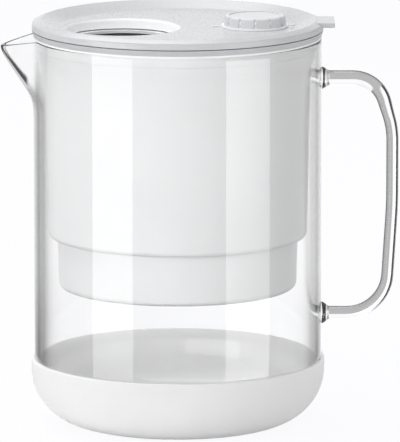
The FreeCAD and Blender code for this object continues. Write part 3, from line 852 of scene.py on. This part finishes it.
class PITCHER_OT_glass_body(bpy.types.Operator):
    """Blow the jug with its spout and weld the bent handle to it"""
    bl_idname = "pitcher.glass_body"
    bl_label = "Glass body"

    def execute(self, context):
        glass = context.scene.pitcher_glass
        body = turned_solid(jug_stations(glass), glass.segments)
        pull_spout(body, glass)
        body.data.materials.append(wall_glass(glass.tint))
        rod = bend_handle(glass)
        rod.data.materials.append(rod_glass(glass.tint))
        # The weld beads get a faint painted shade at their edges
        weld = clear_glass("weld_glass", glass.tint, WELD_PAINTED_EDGE_SHADE)
        ends = ((glass.handle_top, glass.rod_top), (glass.handle_bottom, glass.rod_bottom))
        for height, thickness in ends:
            bead = weld_bead(glass, height, thickness / 2)
            bead.data.materials.append(weld)
            fuse(rod, bead)
        fuse(body, rod)
        only(body)
        bpy.ops.object.shade_smooth_by_angle(angle=SMOOTH_ANGLE)
        body.name = "glass_body"
        body.data.name = "glass_body"
        body.visible_shadow = False
        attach(body, "jug")
        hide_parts("glass_jug", "glass_handle")
        return {"FINISHED"}


class PITCHER_OT_base_sleeve(bpy.types.Operator):
    """Finish the silicone sleeve under the glass"""
    bl_idname = "pitcher.base_sleeve"
    bl_label = "Base sleeve"

    def execute(self, context):
        finish = context.scene.pitcher_finish
        silicone = moulded("white_silicone", finish.silicone, roughness=0.5, grain=2600, depth=0.00001)
        let_light_in(silicone, weight=0.8, depth=0.009)
        # Painted light on the sleeve's floor, on its top and on its inside
        paint_light_or_shade(silicone, facing_upwards, finish.sleeve_inside_painted_light)
        paint_light_or_shade(silicone, facing_inwards, finish.sleeve_inside_painted_light)
        dress(["base_sleeve"], silicone)
        return {"FINISHED"}


class PITCHER_OT_hopper(bpy.types.Operator):
    """Finish the hopper and all the seals"""
    bl_idname = "pitcher.hopper"
    bl_label = "Hopper"

    def execute(self, context):
        finish = context.scene.pitcher_finish
        plastic = moulded("hopper_plastic", finish.hopper, roughness=0.34, grain=1500, depth=0.000006)
        let_light_in(plastic, weight=0.4, depth=0.003)
        # Painted shade on the hopper's inside
        paint_light_or_shade(plastic, facing_inwards, finish.inside)
        # Painted shade on the hopper's flange
        paint_light_or_shade(plastic, at_flange, finish.flange_painted_shade)
        dress(["hopper"], plastic)
        rubber = moulded("seal_silicone", finish.seals, roughness=0.48, grain=2600, depth=0.00001)
        dress(["hopper_seal", "lid_seal", "dial_seal", "cartridge_seal"], rubber)
        return {"FINISHED"}


class PITCHER_OT_lid(bpy.types.Operator):
    """Finish the lid and its under-pan"""
    bl_idname = "pitcher.lid"
    bl_label = "Lid"

    def execute(self, context):
        finish = context.scene.pitcher_finish
        plastic = moulded("lid_plastic", finish.lid, roughness=0.28, grain=1900, depth=0.0000007)
        # Painted light in the fill funnel and on the raised marks round the dial
        paint_light_or_shade(plastic, in_funnel, finish.funnel_painted_light)
        paint_light_or_shade(plastic, raised_marks, finish.marks_painted_light)
        dress(["lid_top", "lid_base"], plastic)
        return {"FINISHED"}


class PITCHER_OT_dial(bpy.types.Operator):
    """Finish the reminder dial"""
    bl_idname = "pitcher.dial"
    bl_label = "Reminder dial"

    def execute(self, context):
        finish = context.scene.pitcher_finish
        plastic = moulded("dial_plastic", finish.dial, roughness=0.34, grain=1900, depth=0.000008)
        # Painted light in the dial's finger grooves
        paint_light_or_shade(plastic, in_grooves, finish.marks_painted_light)
        dress(["reminder_dial", "dial_clip"], plastic)
        return {"FINISHED"}


class PITCHER_OT_cartridge(bpy.types.Operator):
    """Finish the filter cartridge and what it holds"""
    bl_idname = "pitcher.cartridge"
    bl_label = "Filter cartridge"

    def execute(self, context):
        finish = context.scene.pitcher_finish
        shell = moulded("cartridge_plastic", finish.cartridge, roughness=0.3, grain=1500, depth=0.000008)
        dress(["cartridge_shell", "cartridge_cap"], shell)
        dress(["cartridge_top_mesh", "cartridge_bottom_mesh"], woven_screen("filter_mesh"))
        dress(["carbon_bed"], granules("carbon", finish.carbon, size=0.0011, roughness=0.55))
        dress(["resin_bed"], granules("resin", finish.resin, size=0.0008, roughness=0.3))
        dress(["bed_separator"], felted("felt"))
        return {"FINISHED"}


def seen_directly(tree):
    """Switches of a ray: met nothing dull yet, seen straight or through glass, gone through no glass."""
    path = add_node(tree, "ShaderNodeLightPath").outputs
    clean = none_yet(tree, path["Diffuse Depth"])
    unmirrored = both_of(tree, clean, none_yet(tree, path["Glossy Depth"]))
    either = maths(tree, "MAXIMUM", path["Is Camera Ray"], path["Is Transmission Ray"])
    return clean, both_of(tree, either, unmirrored), none_yet(tree, path["Transmission Depth"])


def glow(tree, kind, shade, strength):
    """Light of one colour, from the world or from a surface."""
    return add_node(tree, kind, Color=(*shade, 1), Strength=strength).outputs[0]


def mirrored_grey(tree, studio, outside):
    """Grey that a ray meets by its way, for a mirror outside the glass and for one inside it."""
    across, away, up = axes_of(tree, coordinates(tree, "Generated"))
    front = ramp_to(tree, away, BEHIND_SPAN, (studio.surround, studio.behind))
    back = ramp_to(tree, away, BACKDROP_SPAN, (0.0, 1.0 - studio.behind))
    rising = ramp_to(tree, up, RISING_SPAN, (studio.within, studio.surround))
    steep = ramp_to(tree, maths(tree, "ABSOLUTE", up), STEEP_SPAN, STEEP_SHARES)
    grey = add_node(tree, "ShaderNodeMix", data_type="FLOAT", Factor=outside)
    tree.links.new(both_of(tree, rising, steep), grey.inputs[NUMBER_A])
    tree.links.new(maths(tree, "ADD", front, back), grey.inputs[NUMBER_B])
    side = ramp_to(tree, across, ACROSS_SPAN, ACROSS_SHARES)
    return both_of(tree, grey.outputs[NUMBER_RESULT], side)


def light_world(studio):
    """World of even light, with the greys that gloss and glass mirror and the backdrop seen directly."""
    world = bpy.data.worlds.new("studio")
    bpy.context.scene.world = world
    world.use_nodes = True
    tree = world.node_tree
    tree.nodes.clear()
    clean, direct, outside = seen_directly(tree)
    even = glow(tree, "ShaderNodeBackground", WHITE, studio.ambient)
    mirrored = glow(tree, "ShaderNodeBackground", WHITE, mirrored_grey(tree, studio, outside))
    shown = glow(tree, "ShaderNodeBackground", studio.backdrop, 1)
    unseen = mix_shaders(tree, clean, even, mirrored)
    add_node(tree, "ShaderNodeOutputWorld", Surface=mix_shaders(tree, direct, unseen, shown))


def lay_floor(studio):
    """White floor that shows the backdrop's colour and keeps the shadow."""
    clear_selection()
    bpy.ops.mesh.primitive_circle_add(
        vertices=64, radius=FLOOR_RADIUS, fill_type="NGON", location=(0, 0, -FLOOR_DROP))
    floor = bpy.context.object
    floor.name = "floor"
    bpy.ops.object.transform_apply(location=True)
    material, tree, shader = new_finish("floor_paper")
    set_inputs(tree, shader, {"Base Color": FLOOR_PAPER, "Roughness": 0.9, "Specular IOR Level": 0})
    clean, direct, _ = seen_directly(tree)
    across, _ = about_axis(tree, 0.0)
    strength = ramp_to(tree, across, FLOOR_NEAR, (FLOOR_NEAR_GREY, studio.within))
    grey = glow(tree, "ShaderNodeEmission", WHITE, strength)
    shown = glow(tree, "ShaderNodeEmission", studio.backdrop, 1)
    paper = mix_shaders(tree, maths(tree, "SUBTRACT", clean, direct), shader.outputs[0], grey)
    covered = mix_shaders(tree, both_of(tree, direct, FLOOR_COVER), paper, shown)
    tree.links.new(covered, tree.nodes["Material Output"].inputs["Surface"])
    floor.data.materials.append(material)
    floor.visible_glossy = False


def look_from(place, target):
    """Turn of a lamp or a camera at a place that faces a target."""
    return (Vector(target) - Vector(place)).to_track_quat("-Z", "Y").to_euler()


def hang_lamp(name, place, size, power, target=LAMP_AIM):
    """A rectangular soft box that faces a point."""
    clear_selection()
    bpy.ops.object.light_add(type="AREA", location=place)
    lamp = bpy.context.object
    lamp.name = name
    lamp.data.shape = "RECTANGLE"
    lamp.data.size, lamp.data.size_y = size
    lamp.data.energy = power
    lamp.rotation_euler = look_from(place, target)
    return lamp


def hang_bar(name, first, last, top, brightness):
    """A strip light that only shows as a mirror image, between two turns from the camera's side."""
    height, middle_height = top - BAR_BOTTOM, (top + BAR_BOTTOM) / 2
    middle, half = math.radians((first + last) / 2), math.radians(abs(last - first) / 2)
    width = 2 * BAR_DISTANCE * math.tan(half)
    place = (BAR_DISTANCE * math.sin(middle), -BAR_DISTANCE * math.cos(middle), middle_height)
    power = brightness * math.pi * width * height
    bar = hang_lamp(name, place, (width, height), power, target=(0, 0, middle_height))
    bar.visible_diffuse = False
    bar.visible_transmission = False
    bar.visible_camera = False


def place_camera(studio):
    """Camera of the photo, whose picture is higher than it is wide."""
    clear_selection()
    place = Vector((studio.aim_side, -studio.camera_distance, studio.camera_height))
    aim = Vector((studio.aim_side, 0, studio.aim_height))
    bpy.ops.object.camera_add(location=place)
    camera = bpy.context.object
    camera.rotation_euler = look_from(place, aim)
    camera.data.sensor_width = SENSOR
    camera.data.lens = SENSOR * (aim - place).length / (PICTURE_HEIGHT * studio.pixel)
    camera.data.clip_end = CAMERA_REACH
    bpy.context.scene.camera = camera


class PITCHER_OT_studio(bpy.types.Operator):
    """Set up the floor, the lights and the camera of the photo"""
    bl_idname = "pitcher.studio"
    bl_label = "Studio"

    def execute(self, context):
        studio = context.scene.pitcher_studio
        light_world(studio)
        lay_floor(studio)
        key = hang_lamp("key", *KEY_BOX, studio.key)
        key.visible_glossy = False
        hang_lamp("fill", *FILL_BOX, studio.fill)
        hang_lamp("top", *TOP_BOX, studio.top)
        hang_bar("left_bar", *LEFT_BAR, studio.bars)
        hang_bar("right_bar", *RIGHT_BAR, studio.bars)
        place_camera(studio)
        context.scene.view_settings.view_transform = "Standard"
        return {"FINISHED"}


class PITCHER_PT_panel(bpy.types.Panel):
    """Lists the steps that dress the pitcher"""
    bl_label = "Pitcher"
    bl_space_type = "VIEW_3D"
    bl_region_type = "UI"
    bl_category = "Pitcher"

    def draw(self, context):
        for step in steps:
            self.layout.operator(step.bl_idname)
        for name in settings:
            group = getattr(context.scene, name)
            box = self.layout.box()
            for key in group.bl_rna.properties.keys():
                if key not in ("rna_type", "name"):
                    box.prop(group, key)


settings = {
    "pitcher_glass": GlassSettings,
    "pitcher_finish": FinishSettings,
    "pitcher_studio": StudioSettings,
}
steps = (
    PITCHER_OT_glass_body,
    PITCHER_OT_base_sleeve,
    PITCHER_OT_hopper,
    PITCHER_OT_lid,
    PITCHER_OT_dial,
    PITCHER_OT_cartridge,
    PITCHER_OT_studio,
)
classes = (*settings.values(), *steps, PITCHER_PT_panel)


def register():
    for item in classes:
        bpy.utils.register_class(item)
    for name, group in settings.items():
        setattr(bpy.types.Scene, name, PointerProperty(type=group))


def unregister():
    for name in settings:
        delattr(bpy.types.Scene, name)
    for item in reversed(classes):
        bpy.utils.unregister_class(item)


def main():
    register()
    bpy.ops.pitcher.glass_body()
    bpy.ops.pitcher.base_sleeve()
    bpy.ops.pitcher.hopper()
    bpy.ops.pitcher.lid()
    bpy.ops.pitcher.dial()
    bpy.ops.pitcher.cartridge()
    bpy.ops.pitcher.studio()


if __name__ == "__main__":
    main()
